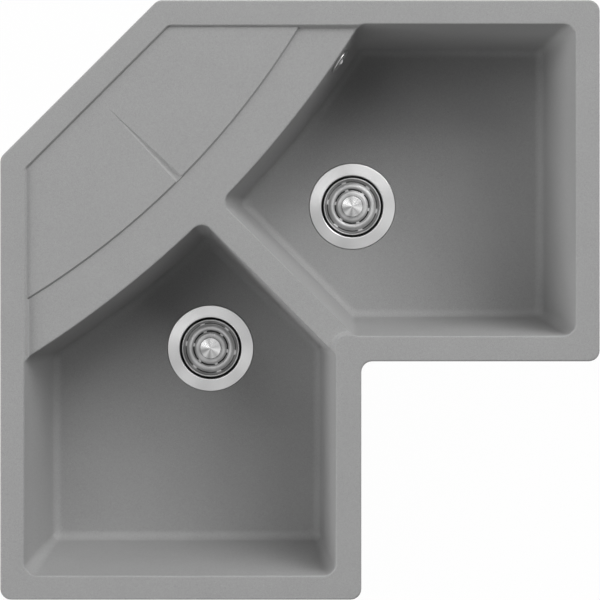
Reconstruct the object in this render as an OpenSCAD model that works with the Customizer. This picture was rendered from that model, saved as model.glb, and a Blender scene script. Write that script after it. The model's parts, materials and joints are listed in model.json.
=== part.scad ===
// Corner kitchen sink with two bowls, a drainer in the cut back corner and its waste kit.
// The origin is the inner corner of the rim, on the plane of the worktop. X and Y run
// along the two legs and Z points up. The sink is its own mirror image across the
// diagonal that runs from the inner corner to the cut back corner.

/* [Outline] */
// Side of the square that the sink takes up
side_l = 830; // [800:5:900]
// Width of each leg from front to back
leg_w = 500; // [490:5:530]
// Length that the cut back corner takes off each side
back_cut = 218; // [200:2:240]
// Radius of the outer corners
corner_r = 15; // [8:1:25]
// Radius of the inner corner at the worktop
notch_r = 15; // [8:1:25]

/* [Rim] */
// Height of the rim above the worktop
rim_h = 9; // [8:0.5:12]
// Width of the rim along the back and the sides
rim_w = 33.5; // [32:0.5:40]
// Width of the rim along the two front edges
front_rim_w = 35.5; // [34:0.5:42]
// Radius of the rounded edges
edge_r = 2.5; // [1.5:0.5:3]
// Width of the land that lies on the worktop
land_w = 10; // [8:1:11]
// Depth of the moulding inside the cut-out of the worktop
slab_drop = 6; // [5:0.5:12]
// Thickness of the worktop that the clips hold
worktop_t = 38; // [28:1:40]

/* [Drainer] */
// Drop from the rim to the drainer
drainer_drop = 4; // [3:0.5:4.5]
// Drop from the rim to the band beside the bowls
band_drop = 7; // [6:0.5:7.5]
// Width of the soft step from the rim into the recess
step_w = 6; // [4:0.5:8]
// Radius of the drainer's two back corners
drainer_r = 10; // [8:1:16]
// Radius of the recess at the inner corner
inner_r = 14; // [10:1:20]
// Radius of the arc between drainer and band
drainer_arc_r = 1140; // [900:1:1300]
// Place of that arc on the diagonal
drainer_arc_v = 358; // [345:1:365]
// Width of the slope between drainer and band
arc_slope_w = 2.5; // [1.5:0.5:5]
// Length of the groove in the drainer
groove_l = 134; // [80:1:150]
// Width of the groove where it opens on the band
groove_w = 12; // [6:0.5:14]
// Radius of the groove's rounded tip
groove_tip_r = 0.4; // [0.2:0.1:1]

/* [Bowls] */
// Depth of the bowls below the rim
bowl_d = 195; // [150:5:220]
// Wall of the moulding
wall_t = 9; // [7:0.5:10]
// Width of the divider between the bowls
divider_w = 35; // [34:1:50]
// Radius of the arc that cuts the back of both bowls
bowl_arc_r = 1441; // [1300:1:1800]
// Place of that arc on the diagonal
bowl_arc_v = 294.5; // [290:0.5:306]
// Radius of the bowls' upright corners at the rim
bowl_r = 17; // [14:1:19]
// Radius of the upright corners at the floor
bowl_floor_r = 10; // [8:1:14]
// Radius between walls and floor
floor_r = 14; // [8:1:20]
// How far the walls lean in over their height
draft_w = 15; // [8:1:18]
// Fall of the floor to the strainer
floor_fall = 3; // [2:0.5:5]

/* [Strainers] */
// Distance of each strainer from the diagonal
waste_u = 150; // [145:1:156]
// Distance of the strainers from the inner corner along the diagonal
waste_v = 156; // [150:1:160]
// Radius of the steel flange
flange_r = 63.5; // [60:0.5:65]
// Radius of the hole in each bowl's floor
hole_r = 47; // [45:0.5:48]
// Thickness of the pressed steel
sheet_t = 1; // [0.8:0.1:1.2]
// Depth of the strainer cup
cup_d = 30; // [26:1:34]
// Radius of the basket
basket_r = 43; // [41:0.1:43.5]
// Depth of the basket's pressed rings
basket_dip = 6.5; // [5:0.5:8]
// Radius of the basket's knob
knob_r = 16; // [14:0.1:17]
// Height of the knob above the basket
knob_h = 9; // [7:0.5:11]
// Radius of the rubber stopper
stopper_r = 32; // [31:0.5:34]
// Thickness of the rubber stopper
stopper_t = 4; // [3:0.5:5]

/* [Overflow] */
// Distance of the overflow's middle from the back edge of the bowl
overflow_in = 45; // [42:1:70]
// Depth of the overflow's middle below the rim
overflow_d = 40; // [38:1:60]
// Radius of the overflow hole in the wall
overflow_hole_r = 14; // [12:0.5:15]
// Radius of the overflow's steel cover
cover_r = 18; // [17:0.5:20]
// Outer radius of the overflow pipe
overflow_pipe_r = 10; // [9:0.5:11]

/* [Waste pipes] */
// Outer radius of the waste pipes
pipe_r = 20; // [16:0.5:20]
// Wall of the waste pipes
pipe_t = 1.8; // [1.5:0.1:2.4]
// Radius of the bends between wastes and tee, on the pipe's middle line
bend_r = 40; // [34:1:44]
// Length of the straight drain pipe
drain_l = 200; // [150:5:220]
// Depth of the trap's cup
trap_cup_d = 48; // [44:1:70]
// Outer radius of the trap
trap_r = 36; // [34:0.5:40]

/* [Fixing clips] */
// Depth of the bosses that hold the clip inserts
boss_h = 10; // [8:1:12]
// Radius of the clip screws
clip_screw_r = 2.5; // [2:0.25:3]
// Width of the clip brackets
clip_w = 18; // [14:1:22]

/* [Hidden] */

// Colours of the real materials
granite = "#8c8c8e";
steel = "#c9ccce";
plastic = "#e4e4e0";
nut_plastic = "#c2c5c6";
rubber = "#2b2b2c";
zinc = "#b4b8bc";
brass = "#b99a4f";

// Fineness of turned shapes, of each rounded corner and of each rounded edge
$fn = 64;
arc_fn = 720;
corner_steps = 6;
edge_steps = 3;
fillet_steps = 4;
arc_steps = 12;
step_steps = 5;
// Overrun of cuts and overlap of joined solids
over = 1;
// Clearances: a screw in its hole, a pipe in its socket, a thread and a push fit
clamp_gap = 0.3;
slide_gap = 0.4;
nut_gap = 0.2;
port_gap = 0.2;

// Levels, all measured from the worktop
drainer_z = rim_h - drainer_drop;
band_z = rim_h - band_drop;
floor_z = rim_h - bowl_d;
under_z = floor_z - wall_t;

// Length of the left and right arm beyond the inner corner
arm_l = side_l - leg_w;
diagonal = sqrt(2);
draft = atan(draft_w / (bowl_d - floor_r));

// Outline of the whole sink, counter-clockwise from the left front corner
outer_corners = [[-leg_w, -arm_l], [0, -arm_l], [0, 0], [arm_l, 0], [arm_l, leg_w],
    [back_cut - leg_w, leg_w], [-leg_w, leg_w - back_cut]];
outer_radii = [corner_r, corner_r, notch_r, corner_r, corner_r, corner_r, corner_r];

// Outline of the recess inside the rim. Its cut corner keeps the rim's width
cut_line = 2 * leg_w - back_cut - rim_w * diagonal;
recess_corners = [[rim_w - leg_w, rim_w - arm_l], [-front_rim_w, rim_w - arm_l],
    [-front_rim_w, front_rim_w], [arm_l - rim_w, front_rim_w],
    [arm_l - rim_w, leg_w - rim_w], [leg_w - rim_w - cut_line, leg_w - rim_w],
    [rim_w - leg_w, cut_line + rim_w - leg_w]];
recess_radii = [bowl_r, bowl_r, inner_r, bowl_r, bowl_r, drainer_r, drainer_r];

// Middle of the two arcs, which lies on the diagonal
drainer_arc_mid = drainer_arc_v + drainer_arc_r;
bowl_arc_mid = bowl_arc_v + bowl_arc_r;
bowl_arc_at = [-bowl_arc_mid, bowl_arc_mid] / diagonal;

// Corners of the right bowl where the arc meets the back edge and the divider
bowl_back_y = leg_w - rim_w;
bowl_arc_top = [bowl_arc_at.x + sqrt(pow(bowl_arc_r, 2) - pow(bowl_arc_at.y - bowl_back_y, 2)),
    bowl_back_y];
divider_u = divider_w / 2;
divider_v = bowl_arc_mid - sqrt(pow(bowl_arc_r, 2) - pow(divider_u, 2));
bowl_arc_end = [divider_u - divider_v, divider_u + divider_v] / diagonal;
arc_from = atan2(bowl_arc_top.y - bowl_arc_at.y, bowl_arc_top.x - bowl_arc_at.x);
arc_to = atan2(bowl_arc_end.y - bowl_arc_at.y, bowl_arc_end.x - bowl_arc_at.x);
bowl_corners = concat(
    [bowl_arc_end, [divider_w / diagonal - front_rim_w, front_rim_w],
        [arm_l - rim_w, front_rim_w], [arm_l - rim_w, bowl_back_y], bowl_arc_top],
    [for (i = [1 : arc_steps - 1])
        bowl_arc_at + bowl_arc_r * heading(arc_from + (arc_to - arc_from) * i / arc_steps)]);
sharp_corners = 5;
least_r = 1;
strainer_at = [waste_u - waste_v, waste_u + waste_v] / diagonal;
sink_hub = [-leg_w, leg_w] / 2;

// Recess for the strainer's flange in the bowl's floor
seat_gap = 1.5;
flat_w = 3;
flat_r = flange_r + seat_gap + flat_w;
seat_d = 2;
flange_rise = 0.8;
cup_seal_t = seat_d + flange_rise - sheet_t;
flange_z = floor_z + flange_rise;
lip_drop = 1.8;
lip_round = 1.6;
mouth_round = 2.5;
cup_round = 5;
mouth_r = hole_r - sheet_t - clamp_gap;
shelf_w = 3;
throat_r = mouth_r - shelf_w;
shelf_z = flange_z - cup_d / 2;
cup_z = floor_z - cup_d;
cup_slot_in = 12;
cup_slot_w = 14;
cup_slot_span = 42;

// The basket's rim lies just below the flange
basket_sink = 1.5;
basket_z = flange_z - basket_sink;
bead_r = 1.2;
pan_share = 0.52;
pan_z = basket_z - pan_share * basket_dip;
post_r = 8;
post_pin_r = 3.9;
post_pin_l = 5;
pin_top_z = pan_z + post_pin_l;
post_flange_r = 13;
post_flange_t = 2;

// Slots in rows of six, turned as in both baskets
slot_count = 6;
slot_turn = 55;
slot_span = 49;
slot_w = 1.9;
outer_slot_share = 0.86;
inner_slot_share = 0.587;

// Screw that pulls the cup down on the hub of the waste body
clamp_r = 3;
clamp_head_r = 5;
clamp_head_h = 4;
socket_gap = 0.8;
hub_drop = 4;
hub_z = cup_z - sheet_t - hub_drop;
hub_r = 7;
hub_l = 11;
hub_ribs = 3;
rib_t = 3;

// Waste body under the moulding
waste_seal_t = 2.5;
body_top = under_z - waste_seal_t;
body_flange_w = 7;
body_flange_t = 4;
body_gap = 4;
body_r = hole_r + body_gap;
body_flange_r = body_r + body_flange_w;
body_t = 2.5;
body_below = 10;
body_d = cup_d + body_below;
body_cone_h = 14;

// Sliding sockets, nuts and washers of the pipes
thread_h = 3.6;
thread_r = pipe_r + thread_h;
socket_r = pipe_r + slide_gap;
spigot_l = 18;
insert_l = 14;
nut_wall = 4;
nut_h = 19;
nut_below = 7;
nut_lip_t = 2.5;
nut_ribs = 12;
nut_rib_r = 2;
rib_in = 1;
washer_bevel = 1.5;
body_out_z = body_top - body_d - body_cone_h - spigot_l;

// Link pipes, tee and trap
bend_gap = 2;
link_z = body_out_z - nut_below - bend_gap - bend_r;
link_end_u = 26;
tee_grip = 8;
tee_l = link_end_u + insert_l + tee_grip;
tee_collar = 4;
tee_tail_l = 26;
tee_out_z = link_z - thread_r - tee_tail_l;
trap_in_z = tee_out_z + insert_l;
ledge_t = 2;
ledge_z = tee_out_z - ledge_t;
trap_head_z = trap_in_z - spigot_l;
trap_cone_h = 8;
trap_t = 3;
trap_thread_h = 12;
trap_seal_t = 2.5;
trap_out_z = trap_head_z - trap_cone_h - thread_r;
trap_low_z = trap_out_z - thread_r - trap_thread_h;
cup_ribs = 18;
dip_gap = 2.2;
dip_r = pipe_r - dip_gap;
dip_t = 1.6;
dip_clear = 20;
dip_low_z = trap_low_z - trap_cup_d + dip_clear;
drain_neck = 12;
drain_out_v = waste_v + trap_r + spigot_l + drain_neck;
drain_collar_t = 3;
drain_collar_h = 2;

// Hose spigot of an appliance and its cap
hose_r = 10;
hose_t = 2;
hose_from = thread_r;
hose_l = 26;
hose_tilt = 45;
hose_barbs = 3;
barb_l = 6;
barb_h = 1;
cap_t = 2;
cap_gap = 0.2;
cap_h = 14;

// Overflow behind the wall
overflow_z = rim_h - overflow_d;
overflow_lean = tan(draft) * overflow_d;
overflow_y = bowl_back_y - overflow_in;
overflow_x = bowl_arc_at.x + sqrt(pow(bowl_arc_r, 2) - pow(overflow_y - bowl_arc_at.y, 2));
overflow_u = (overflow_y + overflow_x) / diagonal;
overflow_v = (overflow_y - overflow_x) / diagonal;
overflow_way = atan2(overflow_v - bowl_arc_mid, overflow_u);
overflow_face = [overflow_u, overflow_v] + overflow_lean * heading(overflow_way);
// Flat pad on the back of the wall under the overflow's seal
pad_t = 1;
pad_gap = 1.5;
pad_out = wall_t + pad_t;
elbow_seal_t = 2;
elbow_r = 16;
elbow_t = 2.4;
elbow_l = 26;
elbow_flange_r = 19.5;
elbow_flange_t = 3;
elbow_hub_r = 4;
elbow_drop = 34;
elbow_plug_l = 12;
cover_h = 3;
cover_t = 1;
cover_screw_r = 1.9;
cover_head_r = 4;
cover_head_h = 1.6;
cover_cross_w = 0.8;
cover_slots = 6;
cover_slot_in = 8.5;
cover_slot_w = 3.5;
cover_slot_span = 40;
elbow_back = pad_out + elbow_seal_t + elbow_l / 2 + over;
overflow_axis = overflow_face - elbow_back * heading(overflow_way);
port_step = overflow_axis - [waste_u, waste_v];
port_way = atan2(port_step.y, port_step.x);
port_far = norm(port_step);
port_t = 3.4;
port_r = overflow_pipe_r + port_t;
port_l = 34;
port_z = body_top - body_flange_t - port_r - over;
port_end = body_r + port_l;
port_in = port_end - insert_l;
overflow_bend_r = 26;

// Clips: places along each edge of the outline, as shares of the edge
clip_shares = [[0.22, 0.78], [0.3], [0.7], [0.22, 0.78], [0.3, 0.7], [0.3, 0.7], [0.3, 0.7]];
boss_r = 6.5;
boss_gap = 0.8;
clip_in = land_w + boss_r + boss_gap;
insert_r = 3.8;
insert_h = 9;
clip_t = 2;
clip_back = 2;
clip_reach = clip_in - clip_back;
clip_heel = 9;
clip_lip = 2;
clip_tip = 7;
clip_head_r = 4.5;
clip_head_h = 3;
clip_z = -worktop_t - clip_tip;

// Shapes of turned parts: radius and height as shares of their own sizes
basket_shares = [[0.945, -0.28], [0.915, -0.72], [0.885, -0.95], [0.86, -1], [0.83, -0.95],
    [0.78, -0.7], [0.73, -0.53], [0.68, -0.52], [0.64, -0.66], [0.61, -0.82], [0.587, -0.87],
    [0.56, -0.83], [0.53, -0.66], [0.49, -0.55], [0.45, -0.52]];
knob_shares = [[0.55, 0], [0.52, 0.34], [0.6, 0.46], [0.93, 0.52], [1, 0.6], [1, 0.74],
    [0.95, 0.84], [0, 1]];
cover_shares = [[1, 0], [0.86, 0.5], [0.62, 0.82], [0.3, 0.98]];
// Part of the soft step's width over which a bowl's edge goes down to the band
level_share = 0.8;
// Outline of the drainer's plate, which starts inside the soft step
plate_share = 0.45;
plate_low = 0.5;

function heading(a) = [cos(a), sin(a)];
function unit(p) = p / norm(p);
function left_of(p) = [-p.y, p.x];
function turned(p, a) = [p.x * cos(a) - p.y * sin(a), p.x * sin(a) + p.y * cos(a)];

// Lower side of a pressed sheet, in reverse, for an upper side that runs inwards
function underside(path, t) =
    let (last = len(path) - 1)
    [for (i = [last : -1 : 0])
        let (a = unit(path[max(i, 1)] - path[max(i, 1) - 1]),
            b = unit(path[min(i + 1, last)] - path[min(i + 1, last) - 1]),
            n = unit(left_of(a) + left_of(b)))
        path[i] + n * t / (n * left_of(a))];

// An open path with its inner corners rounded
function bent(points, radii) =
    [for (i = [0 : len(points) - 1])
        each i == 0 || radii[i] == 0 ? [points[i]]
            : corner(points[i - 1], points[i], points[i + 1], 0, radii[i])];

// One corner of an outline between its neighbours, moved in by d and rounded with r
function corner(before, at, next, d, r) =
    let (a = unit(at - before), b = unit(next - at), turn = cross(a, b),
        sharp = at + (b - a) * d / turn,
        mid = sharp + (b - a) * r / abs(turn),
        arm = -sign(turn) * r * left_of(a),
        sweep = atan2(turn, a * b))
    r == 0 ? [sharp] : [for (i = [0 : corner_steps]) mid + turned(arm, sweep * i / corner_steps)];

// A counter-clockwise outline moved in by d, with a radius for each corner
function outline(points, radii, d = 0) =
    let (n = len(points))
    [for (i = [0 : n - 1])
        each corner(points[(i + n - 1) % n], points[i], points[(i + 1) % n], d, radii[i])];

function lift(points, z) = [for (p = points) [p.x, p.y, z]];

// The rim's radii grow on the outside and shrink on the inside of each corner
function moved_radii(points, radii, d) =
    let (n = len(points))
    [for (i = [0 : n - 1])
        let (turn = cross(points[i] - points[(i + n - 1) % n], points[(i + 1) % n] - points[i]))
        max(radii[i] - sign(turn) * d, least_r)];

function outer_ring(d, z) =
    lift(outline(outer_corners, moved_radii(outer_corners, outer_radii, d), d), z);
function recess_ring(d, z) =
    lift(outline(recess_corners, moved_radii(recess_corners, recess_radii, d), d), z);

function bowl_ring(d, r, z) =
    lift(outline(bowl_corners, [for (i = [0 : len(bowl_corners) - 1]) i < sharp_corners ? r : 0],
        d), z);
// Lean of the wall and radius of its upright corners at a level
function wall_in(z) = (rim_h - z) * tan(draft);
function wall_corner(z) = bowl_r + (bowl_floor_r - bowl_r) * (rim_h - z) / bowl_d;

// Joins level rings with equally many points, from the lowest to the highest. A hub is a
// place that sees the whole of its ring, and closes the ends of a ring that turns back
module loft(rings, hub = undef) {
    n = len(rings[0]);
    top = len(rings) - 1;
    low_hub = n * len(rings);
    top_hub = low_hub + 1;
    polyhedron(
        points = concat([for (ring = rings) each ring],
            is_undef(hub) ? [] : [for (ring = [rings[0], rings[top]]) [hub.x, hub.y, ring[0].z]]),
        faces = concat(
            [for (j = [0 : top - 1], i = [0 : n - 1])
                let (a = j * n + i, b = j * n + (i + 1) % n)
                each [[a, a + n, b + n], [a, b + n, b]]],
            is_undef(hub) ? [[for (i = [0 : n - 1]) i], [for (i = [n - 1 : -1 : 0]) top * n + i]]
                : [for (i = [0 : n - 1])
                    let (next = (i + 1) % n)
                    each [[low_hub, i, next], [top_hub, top * n + next, top * n + i]]]));
}

module recess_cut(z) {
    drop = rim_h - z;
    loft(concat(
        [for (i = [0 : step_steps])
            let (s = i / step_steps, fall = (1 + cos(180 * s)) / 2)
            recess_ring(step_w * (1 - s), rim_h - drop * fall)],
        [recess_ring(0, rim_h + over)]), sink_hub);
}

// Rings of a bowl's rounded edge that ends at a level
function edge_rings(level) =
    let (low = level - edge_r)
    [for (i = [0 : edge_steps])
        let (a = 90 * i / edge_steps, d = wall_in(low) - edge_r * (1 - cos(a)))
        bowl_ring(d, wall_corner(low) - d + wall_in(low), low + edge_r * sin(a))];

// How far a point of the bowl's edge is down the soft step, from 0 on the rim to 1
function down_share(p) =
    let (inside = min(bowl_back_y - p.y, p.y - front_rim_w, arm_l - rim_w - p.x),
        share = max(0, min(1, inside / (step_w * level_share))))
    (1 - cos(180 * share)) / 2;

// Hollow of the right bowl: floor that falls to the strainer, fillet, leaning wall and a
// rounded edge, which lies on the rim on two sides and on the lower band on the others
module bowl_hollow() {
    base_z = floor_z + floor_fall;
    fillet_top = base_z + floor_r * (1 - sin(draft));
    floor_in = wall_in(fillet_top) + floor_r * cos(draft);
    floor_ring = bowl_ring(floor_in, bowl_floor_r, base_z);
    on_rim = edge_rings(rim_h);
    on_band = edge_rings(band_z);
    shares = [for (p = on_rim[edge_steps]) down_share(p)];
    edge = [for (j = [0 : edge_steps])
        [for (i = [0 : len(shares) - 1]) on_rim[j][i] + shares[i] * (on_band[j][i] - on_rim[j][i])]];
    loft(concat(
        [[for (p = floor_ring)
            let (at = strainer_at + flat_r * unit([p.x, p.y] - strainer_at))
            [at.x, at.y, floor_z]]],
        [for (i = [0 : fillet_steps])
            let (a = (90 - draft) * i / fillet_steps, z = base_z + floor_r * (1 - cos(a)))
            bowl_ring(floor_in - floor_r * sin(a), wall_corner(z), z)],
        edge,
        [lift([for (p = edge[edge_steps]) [p.x, p.y]], rim_h + over)]));
}

// Plate of the drainer inside its arc, with a slope down to the band
module drainer_plate() {
    slope = arc_slope_w / (drainer_z - band_z);
    h = drainer_z + over;
    intersection() {
        translate([0, 0, plate_low]) linear_extrude(height = drainer_z - plate_low)
            polygon([for (p = recess_ring(step_w * plate_share, 0)) [p.x, p.y]]);
        on_diagonal() translate([0, drainer_arc_mid, 0])
            cylinder(h = h, r1 = drainer_arc_r + slope * drainer_z,
                r2 = drainer_arc_r + slope * (drainer_z - h), $fn = arc_fn);
    }
}

// Groove that deepens and widens from its tip to the band
module groove_cut() {
    deep = drainer_z - band_z;
    run = groove_l + arc_slope_w;
    r = (pow(groove_w / 2, 2) + pow(deep, 2)) / (2 * deep);
    on_diagonal() translate([0, drainer_arc_v + groove_l, drainer_z])
        rotate([90 - atan((r - deep) / run), 0, 0]) cylinder(h = run, r1 = groove_tip_r, r2 = r);
}

// Flat ring
module washer(r, hole, h) {
    rotate_extrude() translate([hole, 0]) square([r - hole, h]);
}

// Pressed sheet turned about Z
module turned_sheet(path, t) {
    rotate_extrude() polygon(concat(path, underside(path, t)));
}

// Outside of the right bowl
module bowl_shell() {
    top = -slab_drop / 2;
    fillet = floor_r + wall_t / 2;
    fillet_top = under_z + fillet * (1 - sin(draft));
    floor_in = wall_in(fillet_top) + fillet * cos(draft) - wall_t;
    loft(concat(
        [for (i = [0 : fillet_steps])
            let (a = (90 - draft) * i / fillet_steps, z = under_z + fillet * (1 - cos(a)))
            bowl_ring(floor_in - fillet * sin(a), wall_corner(z) + wall_t / 2, z)],
        [bowl_ring(wall_in(top) - wall_t, wall_corner(top) + wall_t / 2, top)]));
}

module both_bowls() {
    children();
    mirror([1, 1, 0]) children();
}

// Places its children at a point given along the diagonal frame
module on_diagonal() {
    rotate([0, 0, 45]) children();
}

module at_waste(side) {
    on_diagonal() translate([side * waste_u, waste_v, 0]) children();
}

// Frame on the right bowl's curved wall: its Z leans out of the wall into the bowl
module at_overflow() {
    on_diagonal() translate([overflow_face.x, overflow_face.y, overflow_z])
        rotate([0, 0, overflow_way]) rotate([0, 90 - draft, 0]) children();
}

module at_clips() {
    n = len(outer_corners);
    for (i = [0 : n - 1], share = clip_shares[i]) {
        from = outer_corners[i];
        to = outer_corners[(i + 1) % n];
        way = unit(to - from);
        at = from + (to - from) * share + clip_in * left_of(way);
        translate([at.x, at.y, 0]) rotate([0, 0, atan2(-way.x, way.y)]) children();
    }
}

// Thread and seal of one screwed pipe joint. The spigot ends at the origin and its
// thread runs up Z, and the pipe comes in from below
module joint_nut(thread, pipe) {
    r = thread + nut_wall;
    difference() {
        union() {
            translate([0, 0, -nut_below]) cylinder(h = nut_h, r = r);
            for (i = [1 : nut_ribs]) rotate([0, 0, (i - 0.5) * 360 / nut_ribs])
                translate([r, 0, rib_in - nut_below])
                    cylinder(h = nut_h - nut_lip_t - rib_in, r = nut_rib_r);
        }
        translate([0, 0, nut_lip_t - nut_below]) cylinder(h = nut_h, r = thread + nut_gap);
        translate([0, 0, -nut_below - over]) cylinder(h = nut_h, r = pipe + slide_gap);
    }
}

module joint_washer(thread, pipe) {
    rotate_extrude() polygon([[pipe, nut_lip_t - nut_below], [thread, nut_lip_t - nut_below],
        [thread, -washer_bevel], [thread - washer_bevel, 0], [pipe, 0]]);
}

// Pipe that comes down Z, bends and runs along -X at a level
module bent_route(r, bend, top, level, run) {
    translate([0, 0, level + bend]) cylinder(h = top - level - bend, r = r);
    translate([-bend, 0, level + bend]) rotate([90, 0, 0]) rotate([0, 0, -90])
        rotate_extrude(angle = 90) translate([bend, 0]) circle(r = r);
    translate([-bend, 0, level]) rotate([0, -90, 0]) cylinder(h = run - bend, r = r);
}

module bent_pipe(r, t, bend, top, level, run) {
    difference() {
        bent_route(r, bend, top, level, run);
        bent_route(r - t, bend, top + over, level, run + over);
    }
}

module sink_moulding() {
    color(granite) difference() {
        union() {
            difference() {
                loft(concat([outer_ring(0, 0)],
                    [for (i = [0 : edge_steps])
                        let (a = 90 * i / edge_steps)
                        outer_ring(edge_r * (1 - cos(a)), rim_h - edge_r * (1 - sin(a)))]),
                    sink_hub);
                recess_cut(band_z);
            }
            drainer_plate();
            translate([0, 0, -slab_drop]) linear_extrude(height = slab_drop + over)
                polygon([for (p = outer_ring(land_w, 0)) [p.x, p.y]]);
            both_bowls() bowl_shell();
            at_clips() translate([0, 0, -slab_drop - boss_h])
                cylinder(h = boss_h + over, r = boss_r);
            at_overflow() translate([0, 0, -pad_out])
                cylinder(h = pad_t + wall_t / 2, r = elbow_flange_r + pad_gap);
        }
        both_bowls() bowl_hollow();
        groove_cut();
        at_clips() translate([0, 0, -slab_drop - boss_h - over])
            cylinder(h = insert_h + over, r = insert_r);
        for (side = [-1, 1]) at_waste(side) {
            translate([0, 0, floor_z - seat_d])
                cylinder(h = seat_d + over, r = flange_r + seat_gap);
            translate([0, 0, under_z - over]) cylinder(h = wall_t + over, r = hole_r);
        }
        at_overflow() translate([0, 0, -pad_out - over])
            cylinder(h = pad_out + 2 * over, r = overflow_hole_r);
    }
}

module strainer_cup(side) {
    color(steel) at_waste(side) difference() {
        turned_sheet(bent(
            [[flange_r, flange_z - lip_drop], [flange_r, flange_z], [mouth_r, flange_z],
                [mouth_r, shelf_z], [throat_r, shelf_z + throat_r - mouth_r], [throat_r, cup_z],
                [clamp_r + clamp_gap, cup_z]],
            [0, lip_round, mouth_round, lip_round, lip_round, cup_round, 0]), sheet_t);
        for (i = [1 : slot_count]) rotate([0, 0, i * 360 / slot_count])
            rotate_extrude(angle = cup_slot_span)
                translate([cup_slot_in, cup_z - 2 * sheet_t]) square([cup_slot_w, 4 * sheet_t]);
    }
}

module cup_seal(side) {
    color(rubber) at_waste(side) translate([0, 0, floor_z - seat_d])
        washer(flange_r - sheet_t - lip_round, hole_r + seat_gap, cup_seal_t);
}

// Pressed basket with a rolled rim and two rings of slots
module basket(side) {
    path = concat([[basket_r - bead_r, basket_z - bead_r]],
        [for (p = basket_shares) [p.x * basket_r, basket_z + p.y * basket_dip]],
        [[post_pin_r, pan_z]]);
    color(steel) at_waste(side) rotate([0, 0, -45]) difference() {
        rotate_extrude() {
            polygon(concat(path, underside(path, sheet_t)));
            translate([basket_r - bead_r, basket_z - bead_r]) circle(r = bead_r);
        }
        for (i = [1 : slot_count], share = [outer_slot_share, inner_slot_share])
            rotate([0, 0, slot_turn + i * 360 / slot_count])
                rotate_extrude(angle = slot_span)
                    translate([share * basket_r - slot_w / 2, basket_z - 2 * basket_dip])
                        square([slot_w, 2 * basket_dip]);
    }
}

// Turned knob with a low cone on top, on the basket's middle
module knob(side) {
    color(steel) at_waste(side) rotate_extrude() polygon(concat([[post_pin_r, pan_z]],
        [for (p = knob_shares) [p.x * knob_r, pan_z + p.y * knob_h]],
        [[0, pin_top_z], [post_pin_r, pin_top_z]]));
}

// Stem that joins the knob to the stopper and drops over the head of the clamp screw
module post(side) {
    flange_low = cup_z + stopper_t;
    pan_low = pan_z - sheet_t;
    socket_top = cup_z + clamp_head_h + post_flange_t;
    color(plastic) at_waste(side) rotate_extrude() polygon([
        [clamp_head_r + socket_gap, cup_z + clamp_gap], [post_r, cup_z + clamp_gap],
        [post_r, flange_low], [post_flange_r, flange_low],
        [post_flange_r, flange_low + post_flange_t], [post_r, flange_low + post_flange_t],
        [post_r, pan_low], [post_pin_r, pan_low], [post_pin_r, pin_top_z], [0, pin_top_z],
        [0, socket_top], [clamp_head_r + socket_gap, socket_top]]);
}

module stopper(side) {
    color(rubber) at_waste(side) rotate_extrude() polygon([[post_r, cup_z], [stopper_r, cup_z],
        [stopper_r, cup_z + stopper_t / 2], [stopper_r - stopper_t / 2, cup_z + stopper_t],
        [post_r, cup_z + stopper_t]]);
}

module clamp_screw(side) {
    color(steel) at_waste(side) difference() {
        union() {
            translate([0, 0, cup_z]) cylinder(h = clamp_head_h, r = clamp_head_r);
            translate([0, 0, hub_z - hub_l]) cylinder(h = cup_z - hub_z + hub_l, r = clamp_r);
        }
        translate([0, 0, cup_z + clamp_head_h / 2])
            cylinder(h = clamp_head_h, r = clamp_head_r / 2, $fn = 6);
    }
}

module waste_seal(side) {
    color(rubber) at_waste(side) translate([0, 0, body_top])
        washer(body_flange_r - seat_gap, body_r - body_t, waste_seal_t);
}

// Plastic body that collects the water under the bowl. The right one takes the overflow
module waste_body(side) {
    cone_z = body_top - body_d;
    neck_z = cone_z - body_cone_h;
    color(plastic) at_waste(side) difference() {
        union() {
            rotate_extrude() polygon([[body_r - body_t, body_top], [body_r - body_t, cone_z],
                [socket_r, neck_z], [socket_r, body_out_z], [thread_r, body_out_z],
                [thread_r, neck_z], [body_r, cone_z], [body_r, body_top - body_flange_t],
                [body_flange_r, body_top - body_flange_t], [body_flange_r, body_top]]);
            translate([0, 0, hub_z - hub_l]) cylinder(h = hub_l, r = hub_r);
            intersection() {
                translate([0, 0, hub_z - hub_l]) cylinder(h = hub_l, r = body_r - body_t / 2);
                for (i = [1 : hub_ribs]) rotate([0, 0, port_way + i * 360 / hub_ribs - 60])
                    translate([0, -rib_t / 2, hub_z - hub_l]) cube([body_r, rib_t, hub_l]);
            }
            if (side > 0) rotate([0, 0, port_way])
                translate([body_r - body_t / 2, 0, port_z]) rotate([0, 90, 0])
                    cylinder(h = port_end - body_r + body_t / 2, r = port_r);
        }
        translate([0, 0, hub_z - hub_l - over]) cylinder(h = hub_l + 2 * over, r = clamp_r);
        if (side > 0) rotate([0, 0, port_way]) translate([0, 0, port_z]) rotate([0, 90, 0]) {
            translate([0, 0, body_r - body_t - over])
                cylinder(h = port_end, r = overflow_pipe_r - pipe_t);
            translate([0, 0, port_in]) cylinder(h = port_end, r = overflow_pipe_r + port_gap);
        }
    }
}

module at_outlet(side) {
    at_waste(side) translate([0, 0, body_out_z]) children();
}

module outlet_nut(side) {
    color(nut_plastic) at_outlet(side) joint_nut(thread_r, pipe_r);
}

module outlet_washer(side) {
    color(rubber) at_outlet(side) joint_washer(thread_r, pipe_r);
}

module link_pipe(side) {
    color(plastic) on_diagonal() mirror([side < 0 ? 1 : 0, 0, 0]) translate([waste_u, waste_v, 0])
        bent_pipe(pipe_r, pipe_t, bend_r, body_out_z + insert_l, link_z, waste_u - link_end_u);
}

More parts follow.
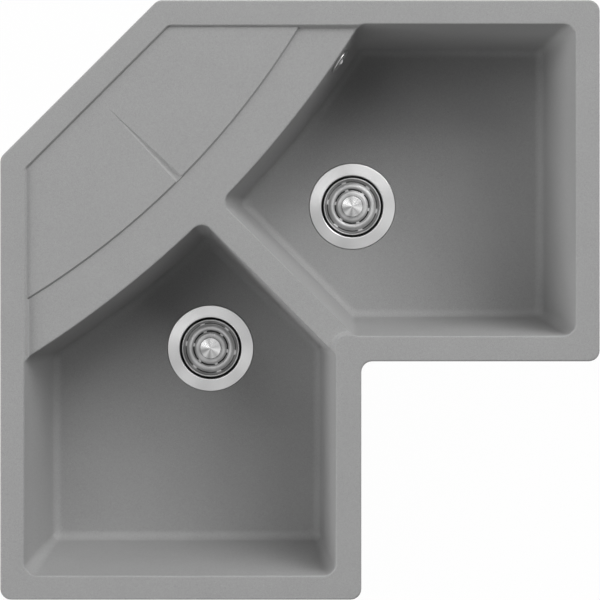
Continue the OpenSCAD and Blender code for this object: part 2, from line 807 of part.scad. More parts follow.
module overflow_cover() {
    path = [for (p = cover_shares) [p.x * cover_r, cover_t + p.y * cover_h]];
    color(steel) at_overflow() difference() {
        turned_sheet(concat(path, [[cover_screw_r + clamp_gap, cover_t + cover_h]]), cover_t);
        for (i = [1 : cover_slots]) rotate([0, 0, i * 360 / cover_slots])
            rotate_extrude(angle = cover_slot_span)
                translate([cover_slot_in, 0]) square([cover_slot_w, cover_t + 2 * cover_h]);
    }
}

module overflow_screw() {
    end = -pad_out - elbow_seal_t - elbow_l + elbow_t;
    color(steel) at_overflow() difference() {
        union() {
            translate([0, 0, cover_t + cover_h]) cylinder(h = cover_head_h, r1 = cover_head_r,
                r2 = cover_head_r - cover_head_h / 2);
            translate([0, 0, end]) cylinder(h = cover_t + cover_h - end, r = cover_screw_r);
        }
        translate([0, 0, cover_t + cover_h + cover_head_h / 2])
            for (a = [0, 90]) rotate([0, 0, a])
                translate([-cover_head_r / 2, -cover_cross_w / 2, 0])
                    cube([cover_head_r, cover_cross_w, cover_head_h]);
    }
}

module overflow_seal() {
    color(rubber) at_overflow() translate([0, 0, -pad_out - elbow_seal_t])
        washer(elbow_flange_r, overflow_hole_r, elbow_seal_t);
}

// Cup behind the wall with a socket that points straight down
module overflow_elbow() {
    face = -pad_out - elbow_seal_t;
    socket_z = overflow_z - elbow_drop;
    color(plastic) difference() {
        union() {
            at_overflow() {
                translate([0, 0, face - elbow_l]) cylinder(h = elbow_l, r = elbow_r);
                translate([0, 0, face - elbow_flange_t])
                    cylinder(h = elbow_flange_t, r = elbow_flange_r);
            }
            at_overflow_pipe() translate([0, 0, socket_z])
                cylinder(h = elbow_drop, r = overflow_pipe_r + elbow_t);
        }
        at_overflow() difference() {
            translate([0, 0, face - elbow_l + elbow_t]) cylinder(h = elbow_l, r = elbow_r - elbow_t);
            translate([0, 0, face - elbow_l]) cylinder(h = elbow_l, r = elbow_hub_r);
        }
        at_overflow() translate([0, 0, face - elbow_l + elbow_t])
            cylinder(h = elbow_l, r = cover_screw_r);
        at_overflow_pipe() difference() {
            translate([0, 0, socket_z - over]) {
                cylinder(h = elbow_plug_l + over, r = overflow_pipe_r);
                cylinder(h = elbow_drop + over, r = overflow_pipe_r - pipe_t);
            }
            translate([0, 0, overflow_z - elbow_r / 2]) cylinder(h = elbow_r, r = elbow_r);
        }
    }
}

module at_overflow_pipe() {
    on_diagonal() translate([overflow_axis.x, overflow_axis.y, 0]) rotate([0, 0, port_way])
        children();
}

module overflow_pipe() {
    color(plastic) at_overflow_pipe() bent_pipe(overflow_pipe_r, pipe_t, overflow_bend_r,
        overflow_z - elbow_drop + elbow_plug_l, port_z, port_far - port_in);
}

module at_port() {
    at_waste(1) rotate([0, 0, port_way]) translate([port_end, 0, port_z]) rotate([0, -90, 0])
        children();
}

module overflow_port_nut() {
    color(nut_plastic) at_port() joint_nut(port_r, overflow_pipe_r);
}

module overflow_port_washer() {
    color(rubber) at_port() joint_washer(port_r, overflow_pipe_r);
}

// Places the joint at the end of the tee's right or left arm
module at_tee(side) {
    on_diagonal() translate([side * tee_l, waste_v, link_z]) rotate([0, -90 * side, 0]) children();
}

module at_middle(z) {
    on_diagonal() translate([0, waste_v, z]) children();
}

module at_hose() {
    at_middle(link_z) rotate([hose_tilt, 0, 0]) children();
}

// Tee with two screwed arms, a plain tail into the trap and a hose spigot at the front
module tee_piece() {
    bore = pipe_r - pipe_t;
    color(plastic) difference() {
        union() {
            at_tee(1) cylinder(h = 2 * tee_l, r = thread_r);
            at_middle(tee_out_z) cylinder(h = link_z - tee_out_z, r = pipe_r);
            at_middle(link_z - thread_r - tee_collar) cylinder(h = thread_r, r = thread_r);
            at_hose() {
                cylinder(h = hose_from + hose_l, r = hose_r);
                for (i = [1 : hose_barbs]) translate([0, 0, hose_from + hose_l - i * barb_l])
                    cylinder(h = barb_l, r1 = hose_r + barb_h, r2 = hose_r);
            }
        }
        at_middle(tee_out_z - over) cylinder(h = link_z - tee_out_z + over, r = bore);
        at_tee(1) {
            translate([0, 0, -over]) cylinder(h = 2 * tee_l + 2 * over, r = bore);
            translate([0, 0, -over]) cylinder(h = tee_l - link_end_u + over, r = socket_r);
            translate([0, 0, tee_l + link_end_u]) cylinder(h = tee_l, r = socket_r);
        }
        at_hose() cylinder(h = hose_from + hose_l + over, r = hose_r - hose_t);
    }
}

module tee_nut(side) {
    color(nut_plastic) at_tee(side) joint_nut(thread_r, pipe_r);
}

module tee_washers() {
    color(rubber) for (side = [-1, 1]) at_tee(side) joint_washer(thread_r, pipe_r);
}

// Push-on cap that closes the hose spigot while no appliance is joined
module appliance_cap() {
    top = hose_from + hose_l;
    inner = hose_r + barb_h + cap_gap;
    color(nut_plastic) at_hose() difference() {
        translate([0, 0, top + cap_t - cap_h]) cylinder(h = cap_h, r = inner + cap_t);
        translate([0, 0, top - cap_h]) cylinder(h = cap_h, r = inner);
    }
}

module at_trap_inlet() {
    at_middle(trap_in_z) rotate([180, 0, 0]) children();
}

module trap_nut() {
    color(nut_plastic) at_trap_inlet() joint_nut(thread_r, pipe_r);
}

module trap_washer() {
    color(rubber) at_trap_inlet() joint_washer(thread_r, pipe_r);
}

// Head of the bottle trap with the outlet towards the cut back corner
module trap_body() {
    ceiling = trap_head_z - trap_t;
    inner = trap_r - trap_t;
    reach = drain_out_v - waste_v;
    color(plastic) difference() {
        union() {
            at_middle(0) rotate_extrude() polygon([[dip_r + slide_gap, ledge_z],
                [dip_r + slide_gap, ceiling], [thread_r - trap_t, ceiling],
                [inner, ceiling - trap_cone_h], [inner, trap_low_z], [trap_r, trap_low_z],
                [trap_r, trap_head_z - trap_cone_h], [thread_r, trap_head_z],
                [thread_r, trap_in_z], [socket_r, trap_in_z], [socket_r, ledge_z]]);
            difference() {
                at_middle(trap_out_z) rotate([-90, 0, 0]) cylinder(h = reach, r = thread_r);
                at_middle(trap_low_z) cylinder(h = trap_in_z - trap_low_z, r = inner + trap_t / 2);
            }
        }
        at_middle(trap_out_z) rotate([-90, 0, 0]) {
            translate([0, 0, inner - over]) cylinder(h = reach, r = pipe_r - pipe_t);
            translate([0, 0, reach - insert_l]) cylinder(h = reach, r = socket_r);
        }
    }
}

module dip_tube() {
    color(plastic) at_middle(0) rotate_extrude() polygon([[dip_r - dip_t, tee_out_z],
        [dip_r - dip_t, dip_low_z], [dip_r, dip_low_z], [dip_r, ledge_z],
        [socket_r - slide_gap, ledge_z], [socket_r - slide_gap, tee_out_z]]);
}

module trap_seal() {
    color(rubber) at_middle(trap_low_z - trap_seal_t) washer(trap_r, trap_r - trap_t, trap_seal_t);
}

// Cup of the trap, which screws off to empty it
module trap_cup() {
    low = trap_low_z - trap_cup_d;
    ledge = trap_low_z - trap_seal_t;
    inner = trap_r - trap_t - slide_gap;
    outer = trap_r + trap_t;
    color(nut_plastic) at_middle(0) {
        rotate_extrude() polygon(concat([[trap_r + nut_gap, trap_low_z + trap_thread_h],
            [trap_r + nut_gap, ledge]], bent([[inner, ledge], [inner, low + trap_t],
            [0, low + trap_t]], [0, cup_round, 0]),
            bent([[0, low], [outer, low], [outer, trap_low_z + trap_thread_h]],
            [0, cup_round + trap_t, 0])));
        for (i = [1 : cup_ribs]) rotate([0, 0, i * 360 / cup_ribs])
            translate([outer, 0, trap_low_z - trap_thread_h])
                cylinder(h = 2 * trap_thread_h - nut_rib_r, r = nut_rib_r);
    }
}

module at_drain(v) {
    on_diagonal() translate([0, v, trap_out_z]) rotate([-90, 0, 0]) children();
}

module drain_nut() {
    color(nut_plastic) at_drain(drain_out_v) rotate([180, 0, 0]) joint_nut(thread_r, pipe_r);
}

module drain_washer() {
    color(rubber) at_drain(drain_out_v) rotate([180, 0, 0]) joint_washer(thread_r, pipe_r);
}

// Straight pipe to the wall, with a bead that keeps the nut on
module drain_pipe() {
    color(plastic) at_drain(drain_out_v - insert_l) difference() {
        union() {
            cylinder(h = insert_l + drain_l, r = pipe_r);
            translate([0, 0, insert_l + nut_below + bend_gap])
                cylinder(h = drain_collar_t, r = pipe_r + drain_collar_h);
        }
        translate([0, 0, -over]) cylinder(h = insert_l + drain_l + 2 * over, r = pipe_r - pipe_t);
    }
}

// Steel claw under the worktop: a plate with a turned-up tip and a turned-down heel
module clip_bracket() {
    difference() {
        translate([0, clip_w / 2, 0]) rotate([90, 0, 0]) linear_extrude(height = clip_w)
            polygon([[-clip_heel, clip_z - clip_lip], [clip_t - clip_heel, clip_z - clip_lip],
                [clip_t - clip_heel, clip_z], [clip_reach, clip_z], [clip_reach, -worktop_t],
                [clip_reach - clip_t, -worktop_t], [clip_reach - clip_t, clip_z + clip_t],
                [-clip_heel, clip_z + clip_t]]);
        translate([0, 0, clip_z - over]) cylinder(h = clip_t + 2 * over, r = clip_screw_r + clamp_gap);
    }
}

module clip_brackets() {
    color(zinc) at_clips() clip_bracket();
}

module clip_screws() {
    top = -slab_drop - boss_h + insert_h;
    color(zinc) at_clips() difference() {
        union() {
            translate([0, 0, clip_z]) cylinder(h = top - clip_z, r = clip_screw_r);
            translate([0, 0, clip_z - clip_head_h]) cylinder(h = clip_head_h, r = clip_head_r);
        }
        translate([0, 0, clip_z - clip_head_h - over])
            cylinder(h = over + clip_head_h / 2, r = clip_head_r / 2, $fn = 6);
    }
}

module clip_inserts() {
    color(brass) at_clips() translate([0, 0, -slab_drop - boss_h])
        washer(insert_r, clip_screw_r, insert_h);
}

sink_moulding();
strainer_cup(1);  // right_strainer_cup
cup_seal(1);  // right_cup_seal
basket(1);  // right_basket
knob(1);  // right_knob
post(1);  // right_post
stopper(1);  // right_stopper
clamp_screw(1);  // right_clamp_screw
waste_seal(1);  // right_waste_seal
waste_body(1);  // right_waste_body
outlet_nut(1);  // right_outlet_nut
outlet_washer(1);  // right_outlet_washer
link_pipe(1);  // right_link_pipe
strainer_cup(-1);  // left_strainer_cup
cup_seal(-1);  // left_cup_seal
basket(-1);  // left_basket
knob(-1);  // left_knob
post(-1);  // left_post
stopper(-1);  // left_stopper
clamp_screw(-1);  // left_clamp_screw
waste_seal(-1);  // left_waste_seal
waste_body(-1);  // left_waste_body
outlet_nut(-1);  // left_outlet_nut
outlet_washer(-1);  // left_outlet_washer
link_pipe(-1);  // left_link_pipe
overflow_cover();
overflow_screw();
overflow_seal();
overflow_elbow();
overflow_pipe();
overflow_port_nut();
overflow_port_washer();
tee_piece();
tee_nut(1);  // right_tee_nut
tee_nut(-1);  // left_tee_nut
tee_washers();
appliance_cap();
trap_nut();
trap_washer();
trap_body();
dip_tube();
trap_seal();
trap_cup();
drain_nut();
drain_washer();
drain_pipe();
clip_brackets();
clip_screws();
clip_inserts();
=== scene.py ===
# %% [markdown]
# # Corner kitchen sink
#
# A grey composite sink for the corner of a kitchen, seen straight from above. One moulding
# carries two bowls and a drainer, and a steel basket strainer sits in each bowl. Under the
# moulding hang the waste pipes, the trap and the clips that hold it in the worktop.
#
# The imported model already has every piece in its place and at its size. This notebook gives
# the pieces their skins and finishes, adds what is too fine for that model, and sets up the
# light and the camera.

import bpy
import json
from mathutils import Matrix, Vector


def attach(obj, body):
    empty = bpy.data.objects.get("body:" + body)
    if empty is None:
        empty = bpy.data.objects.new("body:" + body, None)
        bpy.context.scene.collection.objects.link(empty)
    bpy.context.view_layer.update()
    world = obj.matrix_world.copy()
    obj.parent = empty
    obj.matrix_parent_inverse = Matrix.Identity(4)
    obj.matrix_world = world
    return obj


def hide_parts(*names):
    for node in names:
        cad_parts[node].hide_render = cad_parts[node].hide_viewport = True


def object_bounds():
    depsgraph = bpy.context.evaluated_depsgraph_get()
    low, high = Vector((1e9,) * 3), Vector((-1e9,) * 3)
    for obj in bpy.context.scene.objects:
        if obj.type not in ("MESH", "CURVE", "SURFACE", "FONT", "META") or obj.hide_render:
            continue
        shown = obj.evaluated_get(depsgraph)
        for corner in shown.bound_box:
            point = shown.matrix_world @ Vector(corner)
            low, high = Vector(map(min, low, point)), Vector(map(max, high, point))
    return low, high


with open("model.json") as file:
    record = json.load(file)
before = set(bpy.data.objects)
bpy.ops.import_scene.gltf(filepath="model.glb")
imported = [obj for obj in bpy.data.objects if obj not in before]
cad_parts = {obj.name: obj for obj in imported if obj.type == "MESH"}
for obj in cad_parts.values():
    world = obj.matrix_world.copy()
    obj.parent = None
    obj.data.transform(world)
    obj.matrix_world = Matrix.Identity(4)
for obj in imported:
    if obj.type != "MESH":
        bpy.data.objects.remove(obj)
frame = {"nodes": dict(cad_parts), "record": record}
cad_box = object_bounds()
print("packed box", [[round(value, 3) for value in corner] for corner in cad_box])

# %% Tools from Blender and Python
import json
from math import cos, pi, radians, sin

import bmesh
import bpy
from mathutils import Vector

MM = 0.001
scene = bpy.context.scene
body_of = {node: body for body, nodes in frame["record"]["behaviour"]["bodies"].items()
           for node in nodes}
slot_of = {part["node"]: part["material_slot"] for part in frame["record"]["subparts"]}

# %% [markdown]
# ## Camera
#
# The photograph looks straight down. The floors of the bowls look smaller than their
# mouths, and the place that they shrink towards is where the lens points: a little above
# and to the left of the sink's middle. The walls' visible width gives the distance, about
# 2.4 m. An orthographic camera would be simpler, but it would hide the walls. So the camera
# hangs over that place, and a small shift of the film brings the whole sink back into the
# frame.

# %% Hang the camera over the sink
sink_w = 830 * MM
rim_top = 9 * MM
middle = Vector((-85, 85)) * MM
aim = Vector((-116, 190)) * MM
height = 2370 * MM

lens = bpy.data.cameras.new("top_view")
lens.sensor_width = 36
lens.lens = lens.sensor_width * height / sink_w
lens.shift_x = (middle.x - aim.x) / sink_w
lens.shift_y = (middle.y - aim.y) / sink_w
lens.clip_end = 20
camera = bpy.data.objects.new("top_view", lens)
camera.location = (aim.x, aim.y, rim_top + height)
scene.collection.objects.link(camera)
scene.camera = camera
print("lens", round(lens.lens, 1), "shift", round(lens.shift_x, 3), round(lens.shift_y, 3))

# %% [markdown]
# ## Writing shader maths
#
# A material's pattern is a chain of small nodes. Written one node at a time it is hard to
# read, so this class wraps a socket and lets sums be written as they are on paper. Each
# operator adds the Math node that it names, and one method adds any other node.

# %% A wire that can be added, scaled and mixed
class Wire:
    """One output of a material's nodes."""

    def __init__(self, tree, socket=None):
        self.tree, self.socket = tree, socket

    def node(self, kind, settings=None, inputs=None, output=0):
        """Add a node: its settings first, then the values or wires of its inputs."""
        made = self.tree.nodes.new(kind)
        for name, value in (settings or {}).items():
            setattr(made, name, value)
        for name, value in (inputs or {}).items():
            if isinstance(value, Wire):
                self.tree.links.new(value.socket, made.inputs[name])
            else:
                made.inputs[name].default_value = value
        return Wire(self.tree, made.outputs[output])

    def maths(self, operation, *values):
        return self.node("ShaderNodeMath", {"operation": operation}, dict(enumerate(values)))

    def __add__(self, other):
        return self.maths("ADD", self, other)

    def __sub__(self, other):
        return self.maths("SUBTRACT", self, other)

    def __rsub__(self, other):
        return self.maths("SUBTRACT", other, self)

    def __mul__(self, other):
        return self.maths("MULTIPLY", self, other)

    def __gt__(self, other):
        return self.maths("GREATER_THAN", self, other)

    def __lt__(self, other):
        return self.maths("LESS_THAN", self, other)

    __radd__, __rmul__ = __add__, __mul__

    def larger(self, other):
        return self.maths("MAXIMUM", self, other)

    def mix(self, low, high):
        """A colour between two, with this wire as the share of the second."""
        return self.node("ShaderNodeMix", {"data_type": "RGBA"}, {0: self, 6: low, 7: high}, 2)

    def noise(self, scale, detail, rough=0.5):
        return self.node("ShaderNodeTexNoise", None,
                         {"Vector": self, "Scale": scale, "Detail": detail, "Roughness": rough})

    def cells(self, scale):
        """The distance to the nearest of many scattered points."""
        return self.node("ShaderNodeTexVoronoi", None, {"Vector": self, "Scale": scale},
                         "Distance")

    def vector(self, operation, *values, scale=None, output=0):
        """A step of vector maths, with this wire as the first value."""
        inputs = dict(enumerate((self,) + values))
        if scale is not None:
            inputs["Scale"] = scale
        return self.node("ShaderNodeVectorMath", {"operation": operation}, inputs, output)

    def bump(self, distance, strength):
        return self.node("ShaderNodeBump", None,
                         {"Height": self, "Distance": distance, "Strength": strength})


# %% Helpers that start and feed a finish
def grey(share):
    return (share, share, share, 1)


def finish(name, colour, rough, metallic=0.0):
    """A material, its shader's inputs, and the wire that carries its place on the object."""
    material = bpy.data.materials.new(name)
    material.use_nodes = True
    tree = material.node_tree
    inputs = tree.nodes["Principled BSDF"].inputs
    inputs["Base Color"].default_value = colour
    inputs["Roughness"].default_value = rough
    inputs["Metallic"].default_value = metallic
    place = Wire(tree).node("ShaderNodeTexCoord", output="Object")
    return material, inputs, place


def feed(inputs, name, wire):
    wire.tree.links.new(wire.socket, inputs[name])


def tell(material):
    print(material.name, "has", len(material.node_tree.nodes), "nodes")


# %% [markdown]
# ## Composite granite
#
# The moulding is quartz sand bound with resin. From a metre or two it reads as one matt
# grey. Close up it is a mass of grains under a millimetre across, some pale and some dark,
# with a faint unevenness over a few centimetres. One noise alone would look like cloud, and
# scattered cells alone like paint drops, so layers of both are added up. The grains also
# drive a very shallow bump, because the surface feels like an eggshell.

# %% Granite finish
def granite_finish():
    """Scales are repeats in a metre: 14 is about 70 mm, 320 is 3 mm and 1300 is 0.8 mm."""
    material, inputs, place = finish("granite", grey(0.33), 0.6)
    cloud = place.noise(14, 3)
    grain = place.noise(1300, 3, 0.7)
    mottle = place.noise(320, 3, 0.6)
    pale_grains = place.cells(760) < 0.22
    dark_grains = place.cells(610) < 0.2
    share = (0.5 + (grain - 0.5) * 0.9 + (mottle - 0.5) * 0.22 + (cloud - 0.5) * 0.12
             + pale_grains * 0.3 - dark_grains * 0.3)
    darkest, palest = grey(0.2), grey(0.46)
    feed(inputs, "Base Color", share.mix(darkest, palest))
    feed(inputs, "Roughness", 0.55 + grain * 0.2)
    feed(inputs, "Normal", (grain + mottle * 0.6).bump(0.12 * MM, 0.7))
    return material


finishes = {"granite": granite_finish()}
tell(finishes["granite"])

# %% [markdown]
# ## Plastic, rubber, zinc and brass
#
# The waste pipes are white polypropylene and their nuts are grey, both with a faint ripple
# from the mould. The seals and stoppers are matt rubber that gathers a little dust. The
# clips are zinc plated, with the cloudy patches of plating, and their inserts are brass.
# Nothing on these pieces follows their shape, so one noise over the whole piece does for
# each. Screws and the overflow cover are plain polished steel, made in the same way.

# %% Finishes of the moulded and the plated pieces
def plastic_finish(name, shade):
    material, inputs, place = finish(name, shade, 0.38)
    ripple = place.noise(90, 2)
    darker = tuple(0.94 * channel for channel in shade[:3]) + (1,)
    feed(inputs, "Roughness", 0.34 + ripple * 0.12)
    feed(inputs, "Base Color", ripple.mix(shade, darker))
    feed(inputs, "Normal", ripple.bump(0.2 * MM, 0.25))
    return material


def rubber_finish():
    material, inputs, place = finish("rubber", grey(0.02), 0.7)
    dust = place.noise(300, 3)
    feed(inputs, "Base Color", dust.mix(grey(0.014), grey(0.032)))
    feed(inputs, "Normal", dust.bump(0.1 * MM, 0.4))
    return material


def metal_finish(name, low, high, rough, scale):
    material, inputs, place = finish(name, low, rough, 1.0)
    patches = place.noise(scale, 3)
    feed(inputs, "Base Color", patches.mix(low, high))
    feed(inputs, "Roughness", rough - 0.08 + patches * 0.16)
    return material


finishes |= {
    "plastic_white": plastic_finish("white_plastic", (0.8, 0.8, 0.78, 1)),
    "plastic_grey": plastic_finish("grey_plastic", (0.33, 0.34, 0.35, 1)),
    "rubber": rubber_finish(),
    "zinc": metal_finish("zinc", (0.46, 0.46, 0.43, 1), (0.6, 0.6, 0.58, 1), 0.42, 260),
    "brass": metal_finish("brass", (0.62, 0.45, 0.18, 1), (0.72, 0.55, 0.26, 1), 0.35, 200),
    "steel": metal_finish("screw_steel", grey(0.4), grey(0.5), 0.35, 200),
    "polish": metal_finish("polished_steel", grey(0.55), grey(0.62), 0.3, 200),
}
print(len(finishes), "finishes so far")

# %% [markdown]
# ## Turned steel
#
# The flange, basket and knob of a strainer are stainless steel, turned and polished. The
# tool leaves circles about a tenth of a millimetre apart. Each tips the light a little
# towards the axis or away from it, so a fan of bright and dark wedges crosses every flat
# ring. A wave of rings into a bump is the usual way, but bump compares heights about a pixel
# apart, and circles this fine lie closer together than that. Here the normal itself is
# tilted, by a noise that changes only with the distance from the axis. The colour also
# carries painted light. A broad noise on the direction from the axis paints bright and dark
# wedges into it, a painted fan of highlights and shade. The depth of the cup is painted
# darker, as painted shade, because the photograph shows it dark between the slots.

# %% Steel finish with circles round an upright axis
def steel_finish(name, axis, rough, base, spread, painted_fan, dome=0.0, painted_shade_below=None):
    """Turned steel: how far its circles and dome tilt the light, and how strong its painted
    wedges.
    """
    circles_in_a_metre = 9000
    material, inputs, place = finish(name, grey(base), rough, 1.0)
    outwards = place.vector("SUBTRACT", (axis[0], axis[1], 0)).vector("MULTIPLY", (1, 1, 0))
    radius = outwards.vector("LENGTH", output=1)
    outwards = outwards.vector("NORMALIZE")
    circles = radius.node("ShaderNodeTexNoise", {"noise_dimensions": "1D"},
                          {"W": radius, "Scale": circles_in_a_metre, "Detail": 1})
    tilt = (circles - 0.5) * spread + dome
    facing = place.node("ShaderNodeNewGeometry", output="Normal")
    tilted = facing.vector("ADD", outwards.vector("SCALE", scale=tilt))
    feed(inputs, "Normal", tilted.vector("NORMALIZE"))
    smear = place.noise(40, 3)
    # Painted light: a noise on the direction from the axis lightens and darkens the colour in
    # wedges, a painted fan of highlights and shade.
    painted_wedges = outwards.noise(1.2, 0)
    shade = base - 0.04 + smear * 0.08 + (circles - 0.5) * 0.1 + (painted_wedges - 0.5) * painted_fan
    # Painted shade: below this height the colour is darker, for the shade in the depth of the
    # cup.
    if painted_shade_below is not None:
        height = place.node("ShaderNodeSeparateXYZ", None, {0: place}, 2)
        shade = shade - (height < painted_shade_below) * 0.36
    feed(inputs, "Base Color", shade.mix(grey(0), grey(1)))
    feed(inputs, "Roughness", rough - 0.04 + smear * 0.08)
    return material


# %% Steel of both strainers
strainer_at = {"right": (-4.24 * MM, 216.37 * MM), "left": (-216.37 * MM, 4.24 * MM)}
under_flange = -196.5 * MM
for side, axis in strainer_at.items():
    finishes[side + "_cup"] = steel_finish(side + "_cup_steel", axis, rough=0.3, base=0.5,
                                           spread=0.7, painted_fan=0.35, dome=0.1,
                                           painted_shade_below=under_flange)
    # The basket is the same steel as the cup, given a darker base as painted shade for its
    # place down in the cup.
    finishes[side + "_basket"] = steel_finish(side + "_basket_steel", axis, rough=0.5,
                                              base=0.4, spread=0.4, painted_fan=0.3)
    finishes[side + "_knob"] = steel_finish(side + "_knob_steel", axis, rough=0.26,
                                            base=0.45, spread=0.9, painted_fan=1.2)
    tell(finishes[side + "_cup"])

# %% [markdown]
# ## Skins for the CAD pieces
#
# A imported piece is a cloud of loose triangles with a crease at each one, so its curves
# would show flats. A skin is a copy with its doubled points merged, shaded smooth, and
# creased only where the real piece has an edge. The Weighted Normal modifier lets the large
# flat faces keep their own direction, so that the small faces of a rounded edge carry the
# whole turn of the light.
#
# Two copies are also mended. On the real sink the rounded edge of a bowl keeps its height
# round the outer corners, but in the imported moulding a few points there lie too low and
# leave a chip. And each strainer's flange is bedded in sealant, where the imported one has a
# thin gap round it. Both are small enough to mend by moving points, with no new faces.

# %% Mends for two of the copies, in millimetres
outer_corners = [(296.5, 466.5), (296.5, 35.5), (-466.5, -296.5), (-35.5, -296.5)]
edge_levels = [6.5, 7.75, 8.67, 9]


def level_corners(shape, reach=12, deep_drop=5.62, slight_drop=0.07):
    """Keep the rounded edge at the rim's height round each bowl's two outer corners."""
    wall_top, rim_face, between = 0.5, 8.95, 3.5
    moved = 0
    for vert in shape.verts:
        x, y, z = vert.co / MM
        near = any(max(abs(x - at[0]), abs(y - at[1])) < reach for at in outer_corners)
        if near and wall_top < z < rim_face:
            z += deep_drop if z < between else slight_drop
            vert.co.z = min(edge_levels, key=lambda level: abs(level - z)) * MM
            moved += 1
    return moved


def widen_lip(shape, axis, lip_from=61.5, gap=1.3):
    """Draw a flange's lip out to the wall of its seat, where the real one beds in sealant."""
    for vert in shape.verts:
        off = vert.co.xy - Vector(axis)
        if off.length > lip_from * MM:
            vert.co.xy += off.normalized() * gap * MM


print("mends for", len(outer_corners), "corners and", len(strainer_at), "flanges")


# %% Give each CAD piece its skin
def piece_of(shape, name, material, mesh=None):
    """Put a finished bmesh into the scene as an object with one material."""
    mesh = mesh or bpy.data.meshes.new(name)
    shape.to_mesh(mesh)
    shape.free()
    mesh.materials.clear()
    mesh.materials.append(material)
    piece = bpy.data.objects.new(name, mesh)
    scene.collection.objects.link(piece)
    return piece


def skin(node, material, crease=radians(32)):
    mesh = frame["nodes"][node].data.copy()
    mesh.name = node + "_skin"
    shape = bmesh.new()
    shape.from_mesh(mesh)
    bmesh.ops.remove_doubles(shape, verts=shape.verts, dist=1e-6)
    if node == "sink_moulding":
        print(level_corners(shape), "points of the bowls' corners moved")
        bmesh.ops.remove_doubles(shape, verts=shape.verts, dist=1e-5)
    if node.endswith("strainer_cup"):
        widen_lip(shape, strainer_at[node.split("_")[0]])
    for face in shape.faces:
        face.smooth = True
    for edge in shape.edges:
        edge.smooth = len(edge.link_faces) == 2 and edge.calc_face_angle() < crease
    piece = piece_of(shape, node + "_skin", material, mesh)
    level = piece.modifiers.new("flat faces stay flat", "WEIGHTED_NORMAL")
    level.keep_sharp = True
    level.weight = 100
    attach(piece, body_of[node])
    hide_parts(node)


def finish_of(node):
    """The finish of a node's slot, or a strainer's own steel, which knows its axis."""
    side, kind = node.split("_")[0], node.split("_")[-1]
    return finishes.get(side + "_" + kind, finishes[slot_of[node]])


for node in sorted(frame["nodes"]):
    skin(node, finish_of(node))
print(len(frame["nodes"]), "skins")

# %% [markdown]
# ## Rolled edges of the overflow cover
#
# The cover is a thin pressed disc that stands almost on edge to the camera. Its outer edge
# is rolled over, and so is the edge round its screw, and these two rings are what catches
# the light. Bevelling a copy of the disc would round its edge but not thicken it, so each
# ring is a piece of its own: a small circle spun once round the cover's axis.

# %% Two rings on the overflow cover
def ring(name, node, middle, axis, radius, tube, material, steps=72, sides=10):
    """A ring of round wire in a given finish, on the body of a node."""
    across = axis.cross(Vector((0, 0, 1))).normalized()
    shape = bmesh.new()
    centre = middle + across * radius
    verts = [shape.verts.new(centre + tube * (across * cos(2 * pi * i / sides)
                                              + axis * sin(2 * pi * i / sides)))
             for i in range(sides)]
    edges = [shape.edges.new((verts[i - 1], verts[i])) for i in range(sides)]
    bmesh.ops.spin(shape, geom=verts + edges, cent=middle, axis=axis, angle=2 * pi,
                   steps=steps, use_merge=True)
    bmesh.ops.recalc_face_normals(shape, faces=shape.faces)
    for face in shape.faces:
        face.smooth = True
    piece = piece_of(shape, name, material)
    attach(piece, body_of[node])
    print(name, "has", len(piece.data.polygons), "faces")


cover_axis = Vector((0.8263, -0.5572, 0.0825)).normalized()
cover_mid = Vector((-27.66, 418.27, -30.8)) * MM
for name, forward, radius, tube in (("cover_outer_ring", -0.4, 17.0, 0.9),
                                    ("cover_inner_ring", 1.3, 5.6, 0.5)):
    ring(name, "overflow_cover", cover_mid + cover_axis * forward * MM, cover_axis,
         radius * MM, tube * MM, finishes["polish"])

# %% [markdown]
# ## Threads of the clip screws
#
# Each fixing clip hangs on a screw in a brass insert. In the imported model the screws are
# smooth at their mean size. A bump of slanted lines would look the same from a metre away,
# but the outline would stay straight. So the rolled thread is made as one small ridge,
# turned round the screw and raised by its pitch at each turn.

# %% Find the screws and wind their threads
def screw_places(reach=12 * MM):
    """The middle of each screw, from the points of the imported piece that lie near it."""
    groups = []
    for vert in frame["nodes"]["clip_screws"].data.vertices:
        spot = vert.co.xy
        for group in groups:
            if (group[0] - spot).length < reach:
                group.append(spot.copy())
                break
        else:
            groups.append([spot.copy()])
    return [Vector([(min(p[i] for p in group) + max(p[i] for p in group)) / 2 for i in (0, 1)])
            for group in groups]


def wind_thread(shape, x, y, low, high, radius=2.5 * MM, depth=0.35 * MM, pitch=0.8 * MM,
                steps_each=16):
    """Add one ridge to a bmesh, its foot sunk a little into the screw."""
    foot, half = -0.15 * MM, 0.3 * pitch
    steps = int((high - low) / pitch * steps_each)
    start = [shape.verts.new((x + radius + out, y, low + up))
             for out, up in ((foot, -half), (depth, 0), (foot, half))]
    edges = [shape.edges.new((start[i - 1], start[i])) for i in range(3)]
    made = bmesh.ops.spin(shape, geom=start + edges, cent=(x, y, 0), axis=(0, 0, 1),
                          dvec=(0, 0, pitch / steps_each), angle=2 * pi * steps / steps_each,
                          steps=steps)
    end = [item for item in made["geom_last"] if isinstance(item, bmesh.types.BMVert)]
    shape.faces.new(start)
    shape.faces.new(end)


places = screw_places()
shape = bmesh.new()
for place in places:
    wind_thread(shape, place.x, place.y, low=-42.5 * MM, high=-15.5 * MM)
bmesh.ops.recalc_face_normals(shape, faces=shape.faces)
threads = piece_of(shape, "clip_threads", finishes["zinc"])
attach(threads, body_of["clip_screws"])
print(len(places), "threads,", len(threads.data.polygons), "faces")

# %% [markdown]
# ## Floor and sky
#
# The photograph is a cut-out on white. Turning up the light would whiten the floor, but it
# would bleach the sink too. So the floor and the sky are white only to the camera and to
# shiny things. For all other light the floor is pale paint, so a soft trace of the shadow
# stays, and the sky is nearly black, so the lamps alone shade the bowls.

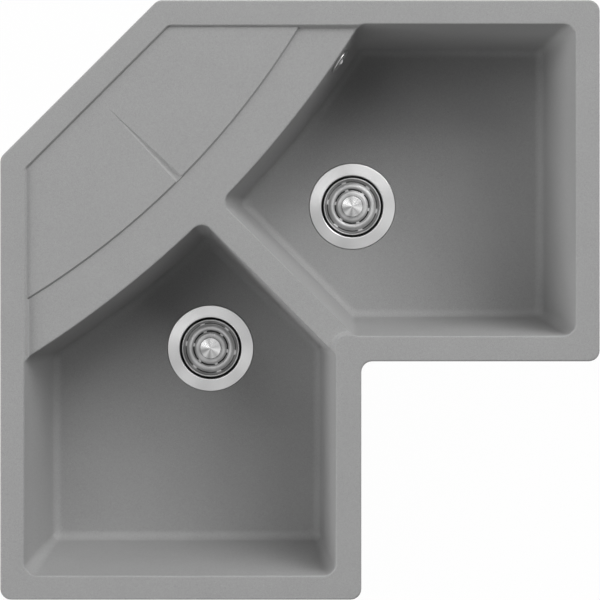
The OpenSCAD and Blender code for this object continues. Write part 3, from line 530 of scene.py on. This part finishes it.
# %% Floor and sky
def seen_white(tree, shader, share):
    """Mix a share of plain white light into a shader, for the camera and shiny things."""
    wire = Wire(tree)
    eye, shine, through = [wire.node("ShaderNodeLightPath", output=name) for name in
                           ("Is Camera Ray", "Is Glossy Ray", "Is Transmission Ray")]
    seen = eye.larger(shine).larger(through) * share
    white = wire.node("ShaderNodeEmission", None, {"Color": grey(1), "Strength": 1.0})
    return wire.node("ShaderNodeMixShader", None, {0: seen, 1: shader, 2: white})


paint = bpy.data.materials.new("floor_paint")
paint.use_nodes = True
tree = paint.node_tree
plain = Wire(tree, tree.nodes["Principled BSDF"].outputs[0])
tree.nodes["Principled BSDF"].inputs["Base Color"].default_value = grey(0.8)
tree.nodes["Principled BSDF"].inputs["Roughness"].default_value = 0.9
tree.links.new(seen_white(tree, plain, 0.975).socket, tree.nodes["Material Output"].inputs[0])

floor_reach = 6
floor_level = cad_box[0][2]
shape = bmesh.new()
bmesh.ops.create_grid(shape, x_segments=1, y_segments=1, size=floor_reach)
bmesh.ops.translate(shape, verts=shape.verts, vec=(0, 0, floor_level))
piece_of(shape, "floor", paint)

world = bpy.data.worlds.new("studio")
scene.world = world
world.use_nodes = True
tree = world.node_tree
tree.nodes["Background"].inputs["Color"].default_value = grey(1)
tree.nodes["Background"].inputs["Strength"].default_value = 0.015
sky = Wire(tree, tree.nodes["Background"].outputs[0])
tree.links.new(seen_white(tree, sky, 1.0).socket, tree.nodes["World Output"].inputs[0])
print("floor at", round(floor_level, 4), "m")

# %% [markdown]
# ## Lamps
#
# In the photograph the rim is evenly lit all round, while the bowls' walls run from dark to
# pale. Near lamps would make the rim uneven, so six large soft ones stand 14 m away. Each
# was first rendered by itself, and their powers are the mix of those pictures that comes
# nearest to the shades of the real rim, walls and floors. Most of the light comes from the
# picture's upper right and from its left.

# %% Lamps
def lamp(name, azimuth, elevation, power, size=6.8, distance=14):
    """A soft lamp seen from the sink in a direction, in degrees from X and from the floor."""
    data = bpy.data.lights.new(name, "AREA")
    data.shape = "SQUARE"
    data.size = size
    data.energy = power
    way = Vector((cos(radians(azimuth)) * cos(radians(elevation)),
                  sin(radians(azimuth)) * cos(radians(elevation)), sin(radians(elevation))))
    thing = bpy.data.objects.new(name, data)
    thing.location = Vector((middle.x, middle.y, 0)) + way * distance
    thing.rotation_euler = way.to_track_quat("Z", "Y").to_euler()
    scene.collection.objects.link(thing)


# Azimuth, elevation and watts of each.
lamps = ((45, 20, 820), (45, 40, 730), (75, 40, 500), (135, 60, 250), (180, 20, 1050),
         (225, 20, 430))
for azimuth, elevation, power in lamps:
    lamp(f"lamp_{azimuth}_{elevation}", azimuth, elevation, power)
print(len(lamps), "lamps,", sum(power for _, _, power in lamps), "W")

# %% Plain view transform
scene.view_settings.view_transform = "Standard"
